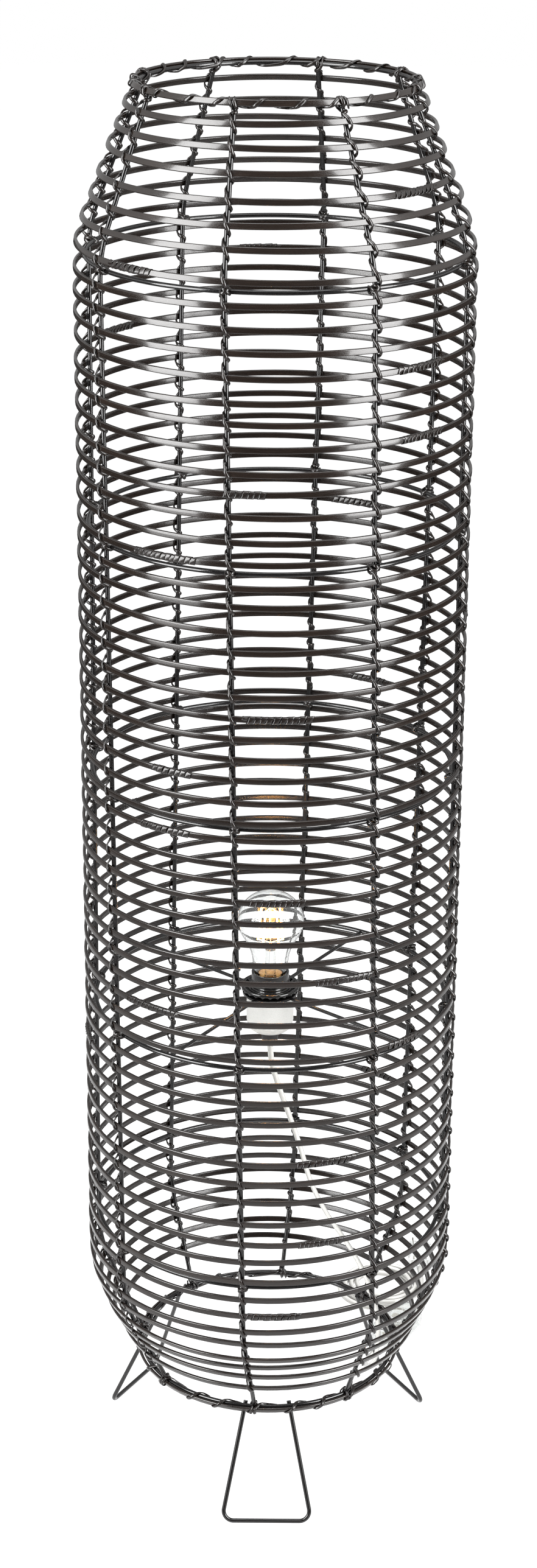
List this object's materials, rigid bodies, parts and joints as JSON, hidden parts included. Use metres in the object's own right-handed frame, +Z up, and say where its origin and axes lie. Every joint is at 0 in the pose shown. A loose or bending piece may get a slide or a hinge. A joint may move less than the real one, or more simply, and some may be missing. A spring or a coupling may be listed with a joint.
{
  "type": "floor lamp",
  "caption": "Tall openwork basket floor lamp of flat rattan hoops on a black wire frame, lit by one clear bulb, on three wire loop feet.",
  "frame": {"origin": "on the floor, on the upright axis of the basket", "axes": "+Z up; -Y is the front, the side with the single middle foot; +X is to the right as seen from the front"},
  "size_m": [0.3403, 0.5125, 1.2824],
  "materials": {
    "rattan_strip": "satin black-brown stain",
    "rattan_strand": "gloss black-brown stain",
    "black_wire": "gloss black",
    "holder_black": "gloss",
    "holder_insert": "matt",
    "white_sleeve": "satin",
    "brass": "satin",
    "black_insulator": "gloss",
    "clear_glass": "gloss",
    "stem_glass": "gloss",
    "filament": "matt",
    "clear_cord": "gloss",
    "clear_plastic": "gloss",
    "nickel": "bright"
  },
  "bodies": {
    "basket": {"base_rim_lashing": "rattan_strand", "base_ring": "black_wire", "carrier_ring": "black_wire", "centre_contact": "brass", "cord_coil": "clear_cord", "cord_grip": "holder_black", "cord_link": "clear_cord", "cord_run": "clear_cord", "foot_front": "black_wire", "foot_left": "black_wire", "foot_right": "black_wire", "frame_ring_1": "black_wire", "frame_ring_2": "black_wire", "frame_ring_3": "black_wire", "frame_ring_4": "black_wire", "frame_ring_5": "black_wire", "holder_cup": "white_sleeve", "holder_insert": "holder_insert", "holder_skirt": "holder_black", "holder_sleeve": "white_sleeve", "hoops_bay_1": "rattan_strip", "hoops_bay_2": "rattan_strip", "hoops_bay_3": "rattan_strip", "hoops_bay_4": "rattan_strip", "hoops_shoulder": "rattan_strip", "hoops_taper": "rattan_strip", "plug_blades": "nickel", "plug_body": "clear_plastic", "rib_1": "black_wire", "rib_2": "black_wire", "rib_3": "black_wire", "rib_4": "black_wire", "rib_5": "black_wire", "rib_6": "black_wire", "rib_7": "black_wire", "rib_8": "black_wire", "rib_lashing_1": "rattan_strand", "rib_lashing_2": "rattan_strand", "rib_lashing_3": "rattan_strand", "rib_lashing_4": "rattan_strand", "rib_lashing_5": "rattan_strand", "rib_lashing_6": "rattan_strand", "rib_lashing_7": "rattan_strand", "rib_lashing_8": "rattan_strand", "screw_shell": "brass", "spider_arms": "black_wire", "splice_wraps": "rattan_strand", "switch_base": "clear_plastic", "switch_cover": "clear_plastic", "switch_module": "holder_insert", "top_rim_lashing": "rattan_strand", "top_ring": "black_wire"},
    "bulb": {"bulb_glass": "clear_glass", "bulb_cap": "brass", "bulb_insulator": "black_insulator", "bulb_contact": "brass", "bulb_stem": "stem_glass", "bulb_filaments": "filament"},
    "shade_ring": {"shade_ring": "holder_black"},
    "button": {"switch_button": "clear_plastic"}
  },
  "joints": [
    {"name": "bulb_turn", "type": "hinge", "parent": "basket", "child": "bulb", "pos_m": [0, 0, 0.48], "axis": [0, 0, 1], "range_deg": [0, 1080]},
    {"name": "shade_ring_turn", "type": "hinge", "parent": "basket", "child": "shade_ring", "pos_m": [0, 0, 0.467], "axis": [0, 0, 1], "range_deg": [0, 1440]},
    {"name": "button_press", "type": "slide", "parent": "basket", "child": "button", "axis": [0, 0, -1], "range_m": [0, 0.003], "stiffness_N_per_m": 300}
  ]
}
